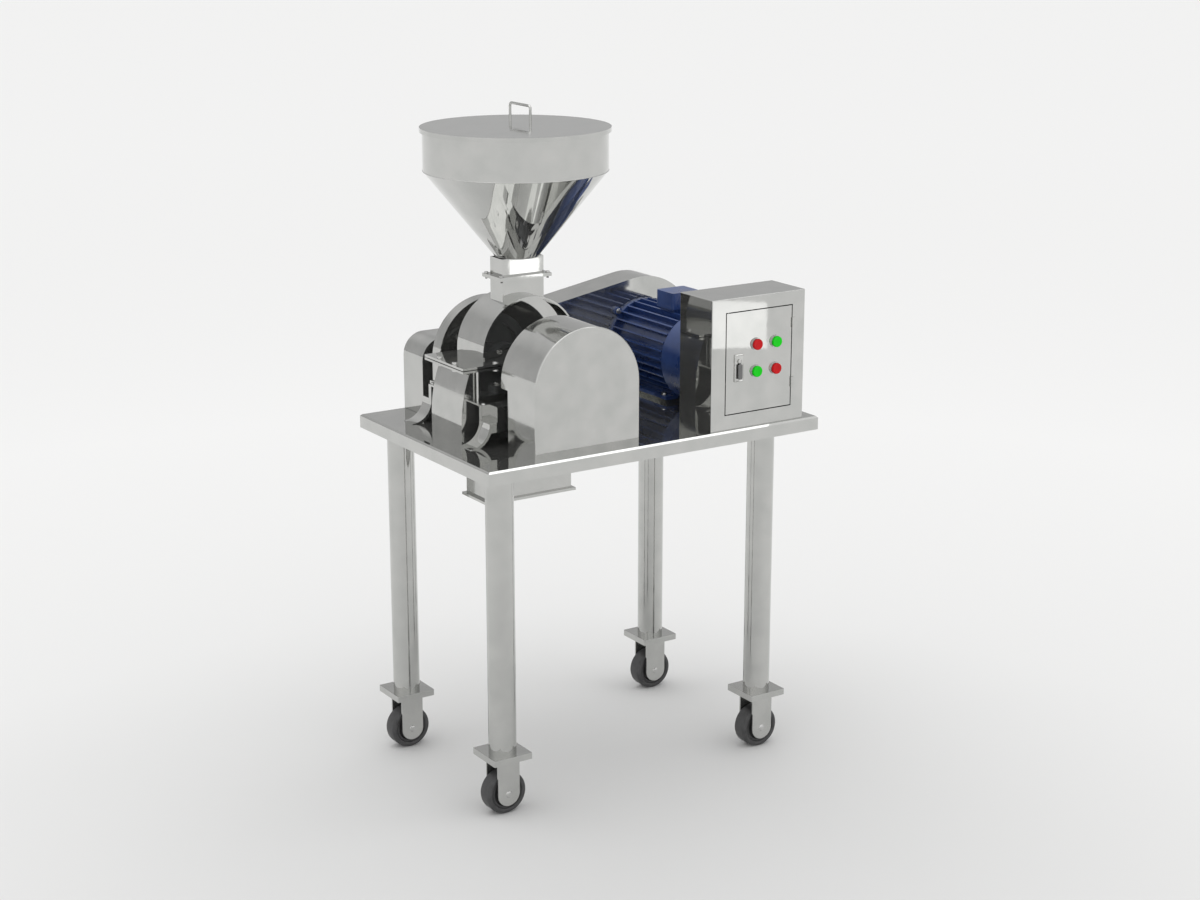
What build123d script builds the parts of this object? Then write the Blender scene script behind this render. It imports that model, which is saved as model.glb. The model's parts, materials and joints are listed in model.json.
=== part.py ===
from build123d import *
import math
import os

# Hammer mill on a wheeled stainless table. Millimetres, +Z up.
# Origin: centre of the table's outline, at floor level. -Y is the operator's side.

# ---- table, legs and casters
TABLE_LENGTH = 890.0
TABLE_WIDTH = 600.0
TABLE_TOP_Z = 830.0
SKIRT_HEIGHT = 32.0
SHEET = 3.0
TOP_BEVEL = 4.0
LEG_X = (-370.0, 343.0)
LEG_Y = (-215.0, 242.0)
LEG_R = 31.75
LEG_WALL = 2.0
CASTER_PLATE = 98.0
CASTER_PLATE_TOP = 148.0
CASTER_PLATE_THICK = 14.5
WHEEL_R = 50.0
WHEEL_WIDTH = 40.0
TYRE_THICK = 13.0
AXLE_R = 5.0
FORK_GAP = 46.0
FORK_THICK = 4.0
FORK_WIDTH = 56.0

# ---- fasteners
M6_R = 3.0
M6_HOLE_R = 3.2
M8_R = 4.0
M8_HOLE_R = 4.2
M12_R = 6.0
M12_HOLE_R = 6.2
HEX_RATIO = 1.8

# ---- mill
SHAFT_X = -177.0
SHAFT_Z = 965.0
MILL_Y = 24.0
SPLIT_Z = 994.0
GASKET = 2.0
FLANGE = 5.0
CASING_WALL = 4.0
FLANGE_HALF_X = 195.0
FLANGE_Y = (-66.0, 110.0)
FLANGE_BOLT_INSET = 10.0
FLANGE_BOLT_X = (-106.0, -40.0, 40.0, 106.0)
FLANGE_END_BOLT_Y = (-12.0, 56.0)
MOUTH_HALF_X = 118.0
LOWER_Y = (-47.0, 91.0)
LOWER_HALF_BOTTOM = 190.0
LOWER_STRAIGHT = 36.0
LOWER_HALF_TOP = 165.0
DRUM_R = 124.0
DRUM_Z = 1013.0
DRUM_Y = (-33.0, 85.0)
DRUM_RECESS = 25.0
NECK_X = 108.0
NECK_Y = 54.0
NECK_TOP = 1222.0
NECK_SPLIT = 1179.0
NECK_OVERHANG = 13.5

# ---- rotor
ROTOR_Y = (4.0, 76.0)
ROTOR_SHAFT_R = 20.0
SHAFT_END_R = 14.0
SHAFT_ENDS = (-222.0, 278.0)
SPACER_R = 30.0
BOSS_R = 24.0
BOSS_LENGTH = 6.0
DISC_R = 75.0
DISC_THICK = 6.0
DISC_COUNT = 4
PIN_CIRCLE_R = 60.0
PIN_R = 6.0
HAMMER_TIP_R = 99.0
HAMMER_WIDTH = 26.0
HAMMER_THICK = 8.0
RUNNING_FIT = 0.05
SCREEN_R = 104.0
SCREEN_THICK = 2.0
SCREEN_HOLE_R = 3.5
SCREEN_ROWS = 9
SCREEN_ROW_STEP = 16.0
SCREEN_COLUMNS = 7
SCREEN_COLUMN_STEP = 15.0

# ---- bearings, stands and covers
JOURNAL_R = 17.5
STAND_TOP = 918.0
STAND_HALF = 161.0
STAND_SLAB_Z = (861.0, 884.0)
STAND_BLOCK_HALF = 141.0
STAND_COVE_R = 50.0
STAND_LEG_THICK = 7.0
STAND_TOE = 1.5
STAND_RIB = 12.0
STAND_SHELF = 4.0
STAND_NEAR_Y = (-122.0, -76.0)
STAND_FAR_Y = (145.0, 187.0)
STAY_R = 3.5
STAY_INSET = 10.0
HOUSING_HALF = 82.0
HOUSING_FOOT = 16.0
HOUSING_BOLT = 66.0
HOUSING_R = 44.0
HOUSING_WIDTH = 34.0
INSERT_R = 35.0
INSERT_COLLAR_R = 24.0
COVER_X = -169.8
COVER_R = 136.0
COVER_ARC_Z = 972.0
COVER_FRONT_Y = -263.0
COVER_BACK_LOW_Y = -147.0
COVER_BACK_HIGH_Y = -119.0
COVER_STEP_Z = 960.0
COVER_WALL = 2.5
COVER_EDGE_R = 3.0
ARCH_R = 137.0
ARCH_Y = (145.0, 180.0)
ARCH_LIFT = 6.0
ARCH_SHAFT_HALF = 48.0
FLYWHEEL_R = 105.0
FLYWHEEL_Y = (-215.0, -170.0)
FLYWHEEL_RIM = 22.0
FLYWHEEL_HUB_R = 30.0
FLYWHEEL_DISH = 13.0

# ---- drive
MOTOR_X = 290.0
MOTOR_Z = 942.0
GUARD_Y = (205.0, 298.0)
GUARD_WALL = 2.0
GUARD_LEFT = -327.0
GUARD_CORNER_R = 52.0
GUARD_LOW_TOP = 1010.5
GUARD_RISE_X = -219.0
GUARD_BIG_R = 154.5
GUARD_MILL_HOLE_R = 22.0
GUARD_MOTOR_HOLE_R = 32.0
PULLEY_Y = (228.0, 272.0)
MOTOR_PULLEY_R = 100.0
MILL_PULLEY_R = 44.0
GROOVE_DEPTH = 9.0
GROOVE_WIDTH = 12.0
BELT_WIDTH = 10.5
BELT_LIFT = 2.5
BELT_THICK = 8.0
BELT_PITCH = 18.0

# ---- motor
FRAME_Y = (-28.0, 196.0)
BARREL_R = 86.0
BARREL_BORE = 70.0
FIN_R = 103.0
FIN_COUNT = 30
FIN_THICK = 3.6
SHIELD_Y = 205.0
SHIELD_R = 100.0
LUG_CIRCLE_R = 109.0
LUG_R = 10.0
REAR_SHIELD = 14.0
COWL_R = 106.0
COWL_Y = (-122.0, -30.0)
COWL_WALL = 2.0
MOTOR_SHAFT_R = 14.0
MOTOR_BEARING_R = 20.0
MOTOR_CORE_R = 45.0
FAN_R = 84.0
BASE_THICK = 8.0
MOTOR_FOOT_HALF = 75.0
MOTOR_FOOT_INNER = 40.0
MOTOR_FOOT_WEB = 12.0
MOTOR_FOOT_BOLT = (65.0, 70.0)
FIN_GAP = 6.0
FAN_Y = (-88.0, -62.0)
FAN_HUB_R = 26.0
FAN_BLADES = 8
FAN_BLADE_THICK = 3.0
COWL_EDGE_R = 18.0
COWL_SLOT_R = (26.0, 42.0, 58.0, 74.0)
COWL_SLOT_WIDTH = 9.0
COWL_BAR = 5.0
MOTOR_SHAFT_END = 276.0
TERMINAL_BOX_Z = (1048.0, 1088.0)
TERMINAL_BOX_WALL = 4.0
TERMINAL_BOX_CORNER = 6.0
TERMINAL_BOX_HALF = 40.0
TERMINAL_BOX_Y = (18.0, 88.0)

# ---- control box
BOX_X = (143.0, 405.0)
BOX_Y = (-290.0, -165.0)
BOX_Z = (830.0, 1135.0)
BOX_WALL = 2.0
BOX_EDGE_R = 1.5
DOOR_X = (183.5, 367.5)
DOOR_Z = (867.0, 1101.0)
DOOR_GAP = 2.5
DOOR_THICK = 2.0
DOOR_RIM_INSET = 12.0
DOOR_RIM_DEPTH = 12.0
HINGE_Z = (921.0, 1061.0)
HINGE_HALF = 12.0
HINGE_PIN_R = 2.5
BUTTON_X = (268.0, 323.0)
BUTTON_Z = (1022.0, 959.0)
BUTTON_R = 12.5
BEZEL_R = 14.5
BUTTON_FIT = 0.5
BUTTON_OUT = 9.0
BUTTON_EDGE_R = 2.5
BEZEL_OUT = 4.0
LATCH_X = 219.0
LATCH_Z = 988.0
LATCH_HALF = 13.0
LATCH_REACH = (-48.0, 16.0)
LATCH_PLATE = 3.0
LATCH_PIN_R = 5.0
LATCH_BAR_HALF = 5.5
LATCH_BAR_DROP = 41.0
LATCH_CAM = 30.0
GLAND_R = 10.25
GLAND_Y = -200.0
GLAND_Z = 875.0

# ---- hopper
HOPPER_R = 208.5
HOPPER_TOP = 1507.0
HOPPER_STRAIGHT = 90.0
HOPPER_OUTLET_R = 50.0
HOPPER_WALL = 2.0
LID_R = 214.5
LID_TOP = 1514.0
LID_THICK = 3.0
HANDLE_X = -89.0
HANDLE_Y = 150.0
HANDLE_HALF = 45.0
HANDLE_RISE = 34.0
HANDLE_R = 3.2
HANDLE_CORNER_R = 8.0

# ---- discharge chute
CHUTE_HALF_X = 112.0
CHUTE_HALF_Y = 49.0
CHUTE_WALL = 2.5
CHUTE_BOTTOM = 665.0
CHUTE_LIP = 8.0

PARTS = {}


def save(name, *solids):
    PARTS[name] = list(solids)


def block(x, y, z):
    """Box from three (low, high) pairs."""
    size = [span[1] - span[0] for span in (x, y, z)]
    middle = [(span[0] + span[1]) / 2 for span in (x, y, z)]
    return Pos(*middle) * Box(*size)


def rod_y(x, z, r, y0, y1):
    return Pos(x, (y0 + y1) / 2, z) * Rot(X=90) * Cylinder(r, y1 - y0)


def rod_z(x, y, r, z0, z1):
    return Pos(x, y, (z0 + z1) / 2) * Cylinder(r, z1 - z0)


def hex_z(x, y, r, z0, z1):
    return Pos(x, y, z0) * extrude(RegularPolygon(r, 6), z1 - z0)


def prism_y(face, y0, y1):
    """Extrude a face drawn in (x, z) from y0 to y1."""
    plane = Plane(origin=(0, y1, 0), x_dir=(1, 0, 0), z_dir=(0, -1, 0))
    return extrude(plane * face, y1 - y0)


def arch(x, half, top_z, base_z, y0, y1):
    """Upright block with a round top: the arc's centre is at top_z."""
    body = block((x - half, x + half), (y0, y1), (base_z, top_z))
    crown = rod_y(x, top_z, half, y0, y1)
    crown = crown - block((x - half - 1, x + half + 1), (y0 - 1, y1 + 1), (top_z - half - 1, top_z))
    return body + crown


def screw_z(x, y, r, z_head, z_end, nut=True):
    """Hexagon bolt standing on z_head, with its nut under z_end."""
    across = HEX_RATIO * r
    bolt = rod_z(x, y, r, z_end - 1.1 * r, z_head) + hex_z(x, y, across, z_head, z_head + 1.2 * r)
    if nut:
        bolt = bolt + hex_z(x, y, across, z_end - 1.5 * r, z_end)
    return bolt


def make_table():
    half_x = TABLE_LENGTH / 2
    half_y = TABLE_WIDTH / 2
    outer = block((-half_x, half_x), (-half_y, half_y), (TABLE_TOP_Z - SKIRT_HEIGHT, TABLE_TOP_Z))
    outer = chamfer(outer.faces().sort_by(Axis.Z)[-1].edges(), TOP_BEVEL)
    inner = block(
        (-half_x + SHEET, half_x - SHEET),
        (-half_y + SHEET, half_y - SHEET),
        (TABLE_TOP_Z - SKIRT_HEIGHT - 1, TABLE_TOP_Z - SHEET),
    )
    inner = chamfer(inner.faces().sort_by(Axis.Z)[-1].edges(), TOP_BEVEL)
    hole = block(
        (SHAFT_X - CHUTE_HALF_X + CHUTE_WALL, SHAFT_X + CHUTE_HALF_X - CHUTE_WALL),
        (MILL_Y - CHUTE_HALF_Y + CHUTE_WALL, MILL_Y + CHUTE_HALF_Y - CHUTE_WALL),
        (TABLE_TOP_Z - 20, TABLE_TOP_Z + 1),
    )
    save("table_top", outer - inner - hole)


def make_leg(tag, x, y):
    tube = rod_z(x, y, LEG_R, CASTER_PLATE_TOP, TABLE_TOP_Z - SHEET)
    tube = tube - rod_z(x, y, LEG_R - LEG_WALL, CASTER_PLATE_TOP - 1, TABLE_TOP_Z)
    save("leg_" + tag, tube)


def make_caster(tag, x, y):
    top = CASTER_PLATE_TOP
    low = top - CASTER_PLATE_THICK
    half = CASTER_PLATE / 2
    fork = block((x - half, x + half), (y - half, y + half), (low, top))
    fork = fillet(fork.edges().filter_by(Axis.Z), 2)
    for side in (-1, 1):
        y0 = y + side * FORK_GAP / 2
        y1 = y + side * (FORK_GAP / 2 + FORK_THICK)
        ear = block((x - FORK_WIDTH / 2, x + FORK_WIDTH / 2), (min(y0, y1), max(y0, y1)), (WHEEL_R, low))
        ear = ear + rod_y(x, WHEEL_R, FORK_WIDTH / 2, min(y0, y1), max(y0, y1))
        fork = fork + ear
    fork = fork - rod_y(x, WHEEL_R, AXLE_R, y - 40, y + 40)
    save("caster_fork_" + tag, fork)

    half_width = WHEEL_WIDTH / 2
    tyre = rod_y(x, WHEEL_R, WHEEL_R, y - half_width, y + half_width)
    rims = tyre.edges().filter_by(GeomType.CIRCLE)
    tyre = fillet(rims, 6)
    core_r = WHEEL_R - TYRE_THICK
    tyre = tyre - rod_y(x, WHEEL_R, core_r, y - half_width - 1, y + half_width + 1)
    hub = rod_y(x, WHEEL_R, core_r, y - half_width + 3, y + half_width - 3)
    hub = hub + rod_y(x, WHEEL_R, 13, y - half_width - 2, y + half_width + 2)
    hub = hub - rod_y(x, WHEEL_R, AXLE_R + RUNNING_FIT, y - 40, y + 40)
    save("caster_wheel_" + tag, tyre, hub)


def make_caster_fasteners():
    """Wheel axles: a low round head on the operator's side and a hexagon nut behind."""
    axles = []
    outside = FORK_GAP / 2 + FORK_THICK
    head = 3.0
    nut = 6.0
    for x in LEG_X:
        for y in LEG_Y:
            axle = rod_y(x, WHEEL_R, AXLE_R, y - outside - 1, y + outside + nut + 2)
            axle = axle + rod_y(x, WHEEL_R, 1.6 * AXLE_R, y - outside - head, y - outside)
            nut_place = Pos(x, y + outside + nut, WHEEL_R) * Rot(X=90)
            axle = axle + nut_place * extrude(RegularPolygon(1.7 * AXLE_R, 6), nut)
            axles.append(axle)
    save("caster_fasteners", *axles)


def make_chute():
    x = SHAFT_X
    y = MILL_Y
    outer = block((x - CHUTE_HALF_X, x + CHUTE_HALF_X), (y - CHUTE_HALF_Y, y + CHUTE_HALF_Y),
                  (CHUTE_BOTTOM, TABLE_TOP_Z - SHEET))
    lip_x = CHUTE_HALF_X + CHUTE_LIP
    lip_y = CHUTE_HALF_Y + CHUTE_LIP
    outer = outer + block((x - lip_x, x + lip_x), (y - lip_y, y + lip_y), (CHUTE_BOTTOM, CHUTE_BOTTOM + 6))
    hole_x = CHUTE_HALF_X - CHUTE_WALL
    hole_y = CHUTE_HALF_Y - CHUTE_WALL
    inner = block((x - hole_x, x + hole_x), (y - hole_y, y + hole_y), (CHUTE_BOTTOM - 1, TABLE_TOP_Z))
    save("discharge_chute", outer - inner)


def casing_side_face(inset):
    """Front view of the lower casing, drawn in (x, z): plumb at the foot, curving in above."""
    low = LOWER_HALF_BOTTOM - inset
    high = LOWER_HALF_TOP - inset
    z0 = TABLE_TOP_Z
    z1 = TABLE_TOP_Z + LOWER_STRAIGHT
    z2 = SPLIT_Z - FLANGE
    rise = z2 - z1
    run = low - high
    radius = (rise ** 2 + run ** 2) / (2 * run)
    half_angle = math.asin(rise / radius) / 2
    mid_x = low - radius * (1 - math.cos(half_angle))
    mid_z = z1 + radius * math.sin(half_angle)
    lines = []
    for side in (-1, 1):
        lines.append(Line((SHAFT_X + side * low, z0), (SHAFT_X + side * low, z1)))
        lines.append(ThreePointArc(
            (SHAFT_X + side * low, z1), (SHAFT_X + side * mid_x, mid_z), (SHAFT_X + side * high, z2)))
    lines.append(Line((SHAFT_X - low, z0), (SHAFT_X + low, z0)))
    lines.append(Line((SHAFT_X - high, z2), (SHAFT_X + high, z2)))
    return make_face(lines)


def flange_bolt_places():
    inset = FLANGE_BOLT_INSET
    long_sides = (FLANGE_Y[0] + inset, FLANGE_Y[1] - inset)
    ends = (SHAFT_X - FLANGE_HALF_X + inset, SHAFT_X + FLANGE_HALF_X - inset)
    places = [(SHAFT_X + offset, y) for offset in FLANGE_BOLT_X for y in long_sides]
    places.extend((x, y) for x in ends for y in FLANGE_END_BOLT_Y)
    return places


def flange_plate(z0, z1, shrink=0.0):
    """Split flange: a plate with the mill's rectangular mouth in it."""
    half = FLANGE_HALF_X - shrink
    plate = block((SHAFT_X - half, SHAFT_X + half), (FLANGE_Y[0] + shrink, FLANGE_Y[1] - shrink), (z0, z1))
    mouth_y = (DRUM_Y[0] + DRUM_RECESS + CASING_WALL, DRUM_Y[1] - CASING_WALL)
    plate = plate - block((SHAFT_X - MOUTH_HALF_X, SHAFT_X + MOUTH_HALF_X), mouth_y, (z0 - 1, z1 + 1))
    for x, y in flange_bolt_places():
        plate = plate - rod_z(x, y, M8_HOLE_R, z0 - 1, z1 + 1)
    return plate


def make_lower_casing():
    shell = prism_y(casing_side_face(0.0), *LOWER_Y)
    hollow = prism_y(casing_side_face(CASING_WALL), LOWER_Y[0] + CASING_WALL, LOWER_Y[1] - CASING_WALL)
    shell = shell - hollow
    shell = shell + flange_plate(SPLIT_Z - FLANGE, SPLIT_Z)
    for y0, y1 in ((LOWER_Y[0] - BOSS_LENGTH, LOWER_Y[0]), (LOWER_Y[1], LOWER_Y[1] + BOSS_LENGTH)):
        shell = shell + rod_y(SHAFT_X, SHAFT_Z, BOSS_R, y0, y1)
    shell = shell - rod_y(SHAFT_X, SHAFT_Z, JOURNAL_R + 0.6, LOWER_Y[0] - 10, LOWER_Y[1] + 10)
    save("lower_casing", shell)


def make_screen():
    y0 = LOWER_Y[0] + CASING_WALL
    y1 = LOWER_Y[1] - CASING_WALL
    ring = rod_y(SHAFT_X, SHAFT_Z, SCREEN_R + SCREEN_THICK, y0, y1)
    ring = ring - rod_y(SHAFT_X, SHAFT_Z, SCREEN_R, y0 - 1, y1 + 1)
    ring = ring - block((SHAFT_X - 130, SHAFT_X + 130), (y0 - 1, y1 + 1), (SHAFT_Z - 12, SHAFT_Z + 130))
    holes = []
    for row in range(SCREEN_ROWS):
        angle = math.radians(-90 + (row - (SCREEN_ROWS - 1) / 2) * SCREEN_ROW_STEP)
        for column in range(SCREEN_COLUMNS):
            y = (y0 + y1) / 2 + (column - (SCREEN_COLUMNS - 1) / 2) * SCREEN_COLUMN_STEP
            hole = Rot(Y=90 - math.degrees(angle)) * Cylinder(SCREEN_HOLE_R, 8 * SCREEN_THICK)
            x = SHAFT_X + SCREEN_R * math.cos(angle)
            z = SHAFT_Z + SCREEN_R * math.sin(angle)
            holes.append(Pos(x, y, z) * hole)
    save("sizing_screen", ring - holes)


def make_upper_casing():
    base_z = SPLIT_Z + GASKET
    y0, y1 = DRUM_Y
    wall = CASING_WALL
    drum = arch(SHAFT_X, DRUM_R, DRUM_Z, base_z, y0, y1)
    drum = drum - arch(SHAFT_X, DRUM_R - wall, DRUM_Z, base_z - 5, y0 + DRUM_RECESS + wall, y1 - wall)
    drum = drum - arch(SHAFT_X, DRUM_R - wall, DRUM_Z, base_z + FLANGE, y0 - 1, y0 + DRUM_RECESS)
    neck_x = (SHAFT_X - NECK_X / 2, SHAFT_X + NECK_X / 2)
    neck_y = (MILL_Y - NECK_Y / 2, MILL_Y + NECK_Y / 2)
    neck = block(neck_x, neck_y, (DRUM_Z + 60, NECK_SPLIT))
    lip = NECK_OVERHANG
    neck = neck + block(
        (neck_x[0] - lip, neck_x[1] + lip), (neck_y[0] - lip, neck_y[1] + lip), (NECK_SPLIT - 4, NECK_SPLIT))
    inside = arch(SHAFT_X, DRUM_R - wall, DRUM_Z, base_z, y0 + DRUM_RECESS + wall, y1 - wall)
    drum = drum + (neck - inside)
    throat = block(
        (neck_x[0] + 2, neck_x[1] - 2), (neck_y[0] + 2, neck_y[1] - 2), (DRUM_Z + 40, NECK_SPLIT + 1))
    drum = drum - throat
    drum = drum + flange_plate(base_z, base_z + FLANGE)
    drum = drum - neck_bolt_holes(NECK_SPLIT - 5, NECK_SPLIT + 1)
    save("upper_casing", drum)
    save("casing_gasket", flange_plate(SPLIT_Z, base_z, 5.0))


def neck_bolt_places():
    reach_x = NECK_X / 2 + NECK_OVERHANG / 2
    reach_y = NECK_Y / 2 + NECK_OVERHANG / 2
    return [(SHAFT_X + i * reach_x, MILL_Y + j * reach_y) for i in (-1, 1) for j in (-1, 1)]


def neck_bolt_holes(z0, z1):
    return [rod_z(x, y, M6_HOLE_R, z0, z1) for x, y in neck_bolt_places()]


def make_casing_bolts():
    head_z = SPLIT_Z + GASKET + FLANGE
    bolts = [screw_z(x, y, M8_R, head_z, SPLIT_Z - FLANGE) for x, y in flange_bolt_places()]
    bolts.extend(screw_z(x, y, M6_R, NECK_SPLIT + 4, NECK_SPLIT - 4) for x, y in neck_bolt_places())
    save("casing_bolts", *bolts)


def make_rotor():
    shaft = rod_y(SHAFT_X, SHAFT_Z, ROTOR_SHAFT_R, LOWER_Y[0] + 8, LOWER_Y[1] - 8)
    shaft = shaft + rod_y(SHAFT_X, SHAFT_Z, JOURNAL_R, STAND_NEAR_Y[0] - 3, STAND_FAR_Y[1] + 8)
    shaft = shaft + rod_y(SHAFT_X, SHAFT_Z, SHAFT_END_R, *SHAFT_ENDS)
    save("rotor_shaft", shaft)
    pitch = (ROTOR_Y[1] - ROTOR_Y[0] - DISC_THICK) / (DISC_COUNT - 1)
    discs = []
    for index in range(DISC_COUNT):
        y0 = ROTOR_Y[0] + index * pitch
        disc = rod_y(SHAFT_X, SHAFT_Z, DISC_R, y0, y0 + DISC_THICK)
        if index < DISC_COUNT - 1:
            disc = disc + rod_y(SHAFT_X, SHAFT_Z, SPACER_R, y0 + DISC_THICK, y0 + pitch)
        disc = disc - rod_y(SHAFT_X, SHAFT_Z, ROTOR_SHAFT_R, y0 - 1, y0 + pitch + 1)
        for quarter in range(4):
            px, pz = pin_place(quarter)
            disc = disc - rod_y(px, pz, PIN_R, y0 - 1, y0 + DISC_THICK + 1)
        discs.append(disc)
    save("rotor_discs", *discs)
    pins = []
    for quarter in range(4):
        px, pz = pin_place(quarter)
        pin = rod_y(px, pz, PIN_R, ROTOR_Y[0] - 2, ROTOR_Y[1] + 2)
        pins.append(pin)
        hammers = []
        for gap in range(DISC_COUNT - 1):
            middle = ROTOR_Y[0] + DISC_THICK + gap * pitch + (pitch - DISC_THICK) / 2
            hammers.append(make_hammer(quarter, middle))
        save("hammer_row_%d" % (quarter + 1), *hammers)
    save("hammer_pins", *pins)


def pin_place(quarter):
    angle = math.radians(45 + 90 * quarter)
    return SHAFT_X + PIN_CIRCLE_R * math.cos(angle), SHAFT_Z + PIN_CIRCLE_R * math.sin(angle)


def make_hammer(quarter, y):
    """Flat swinging hammer hung on a pin, pointing straight out from the shaft."""
    reach = HAMMER_TIP_R - PIN_CIRCLE_R
    blade = Pos(reach / 2, 0, 0) * Box(reach, HAMMER_THICK, HAMMER_WIDTH)
    blade = blade + Rot(X=90) * Cylinder(HAMMER_WIDTH / 2, HAMMER_THICK)
    blade = blade - Rot(X=90) * Cylinder(PIN_R + RUNNING_FIT, HAMMER_THICK + 2)
    px, pz = pin_place(quarter)
    return Pos(px, y, pz) * Rot(Y=-(45 + 90 * quarter)) * blade


def stand_face():
    """Bench in (x, z): a slab on two curved feet that sweep out to the table."""
    slab_low, slab_top = STAND_SLAB_Z
    cove_z = TABLE_TOP_Z + STAND_TOE + STAND_COVE_R
    inner_r = STAND_COVE_R + STAND_LEG_THICK
    diagonal = math.sqrt(0.5)
    lines = []
    for side in (-1, 1):
        end = SHAFT_X + side * STAND_HALF
        toe = end + side * STAND_COVE_R

        def inner(z):
            return toe - side * math.sqrt(inner_r ** 2 - (cove_z - z) ** 2)

        lines.append(Line((end, slab_top), (end, cove_z)))
        lines.append(ThreePointArc(
            (end, cove_z),
            (toe - side * STAND_COVE_R * diagonal, cove_z - STAND_COVE_R * diagonal),
            (toe, cove_z - STAND_COVE_R)))
        lines.append(Line((toe, cove_z - STAND_COVE_R), (toe, TABLE_TOP_Z)))
        lines.append(Line((toe, TABLE_TOP_Z), (inner(TABLE_TOP_Z), TABLE_TOP_Z)))
        half_way = (TABLE_TOP_Z + slab_low) / 2
        lines.append(ThreePointArc(
            (inner(TABLE_TOP_Z), TABLE_TOP_Z), (inner(half_way), half_way), (inner(slab_low), slab_low)))
    low_half = STAND_HALF + STAND_COVE_R - math.sqrt(inner_r ** 2 - (cove_z - slab_low) ** 2)
    lines.append(Line((SHAFT_X - low_half, slab_low), (SHAFT_X + low_half, slab_low)))
    lines.append(Line((SHAFT_X - STAND_HALF, slab_top), (SHAFT_X + STAND_HALF, slab_top)))
    return make_face(lines)


def make_stand(y0, y1, rib_y, shelf_y):
    """Bearing stand: bench, block under the bearing, and an end rib with a shelf towards the casing."""
    slab_top = STAND_SLAB_Z[1]
    stand = prism_y(stand_face(), y0, y1)
    stand = stand + block(
        (SHAFT_X - STAND_BLOCK_HALF, SHAFT_X + STAND_BLOCK_HALF), (y0, y1), (slab_top, STAND_TOP))
    for side in (-1, 1):
        end = SHAFT_X + side * STAND_HALF
        inside = SHAFT_X + side * STAND_BLOCK_HALF
        rib_x = (min(end, inside), max(end, inside))
        stand = stand + block(rib_x, rib_y, (slab_top, STAND_TOP))
        if shelf_y is not None:
            stand = stand + block(rib_x, shelf_y, (STAND_TOP - STAND_SHELF, STAND_TOP))
    return stand


def make_bearings():
    near_y, far_y = STAND_NEAR_Y, STAND_FAR_Y
    near_rib = (near_y[1] - STAND_RIB, near_y[1])
    far_rib = (far_y[0], far_y[0] + STAND_RIB)
    stands = [
        make_stand(*near_y, near_rib, (near_y[1], LOWER_Y[0])),
        make_stand(*far_y, far_rib, (LOWER_Y[1], far_y[0])),
    ]
    housings = []
    inserts = []
    bolts = motor_bolts()
    foot_top = STAND_TOP + HOUSING_FOOT
    half = HOUSING_WIDTH / 2
    for index, (y0, y1) in enumerate((near_y, far_y)):
        middle = (y0 + y1) / 2
        rib_middle = (sum(near_rib) / 2, sum(far_rib) / 2)[index]
        foot = block(
            (SHAFT_X - HOUSING_HALF, SHAFT_X + HOUSING_HALF), (middle - 20, middle + 20), (STAND_TOP, foot_top))
        foot = fillet(foot.edges().filter_by(Axis.Z), 8)
        housing = foot + rod_y(SHAFT_X, SHAFT_Z, HOUSING_R, middle - half, middle + half)
        housing = housing - block(
            (SHAFT_X - 60, SHAFT_X + 60), (middle - 30, middle + 30), (STAND_TOP - 30, STAND_TOP))
        housing = housing - rod_y(SHAFT_X, SHAFT_Z, INSERT_R, middle - 30, middle + 30)
        insert = rod_y(SHAFT_X, SHAFT_Z, INSERT_R, middle - half + 2, middle + half - 2)
        insert = insert + rod_y(SHAFT_X, SHAFT_Z, INSERT_COLLAR_R, middle - half - 1, middle + half + 1)
        insert = insert - rod_y(SHAFT_X, SHAFT_Z, JOURNAL_R + RUNNING_FIT, middle - 30, middle + 30)
        stand = stands[index]
        for x in (SHAFT_X - HOUSING_BOLT, SHAFT_X + HOUSING_BOLT):
            hole = rod_z(x, middle, M12_HOLE_R, TABLE_TOP_Z + 1, foot_top + 1)
            stand = stand - hole
            housing = housing - hole
            bolts.append(screw_z(x, middle, M12_R, foot_top, STAND_SLAB_Z[0]))
        for x in (SHAFT_X - STAND_HALF + 8, SHAFT_X + STAND_HALF - 8):
            stand = stand - rod_z(x, rib_middle, M6_HOLE_R, STAND_TOP - 30, STAND_TOP + 1)
            bolts.append(screw_z(x, rib_middle, M6_R, STAND_TOP, STAND_TOP - 12, nut=False))
        stands[index] = stand
        housings.append(housing)
        inserts.append(insert)
    for x in (SHAFT_X - STAND_HALF + STAY_INSET, SHAFT_X + STAND_HALF - STAY_INSET):
        stands.append(rod_z(x, LOWER_Y[0] - 2 * STAY_R, STAY_R, STAND_TOP, SPLIT_Z - FLANGE))
    save("bearing_stands", *stands)
    save("bearing_housings", *housings)
    save("bearing_inserts", *inserts)
    save("mounting_bolts", *bolts)


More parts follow.
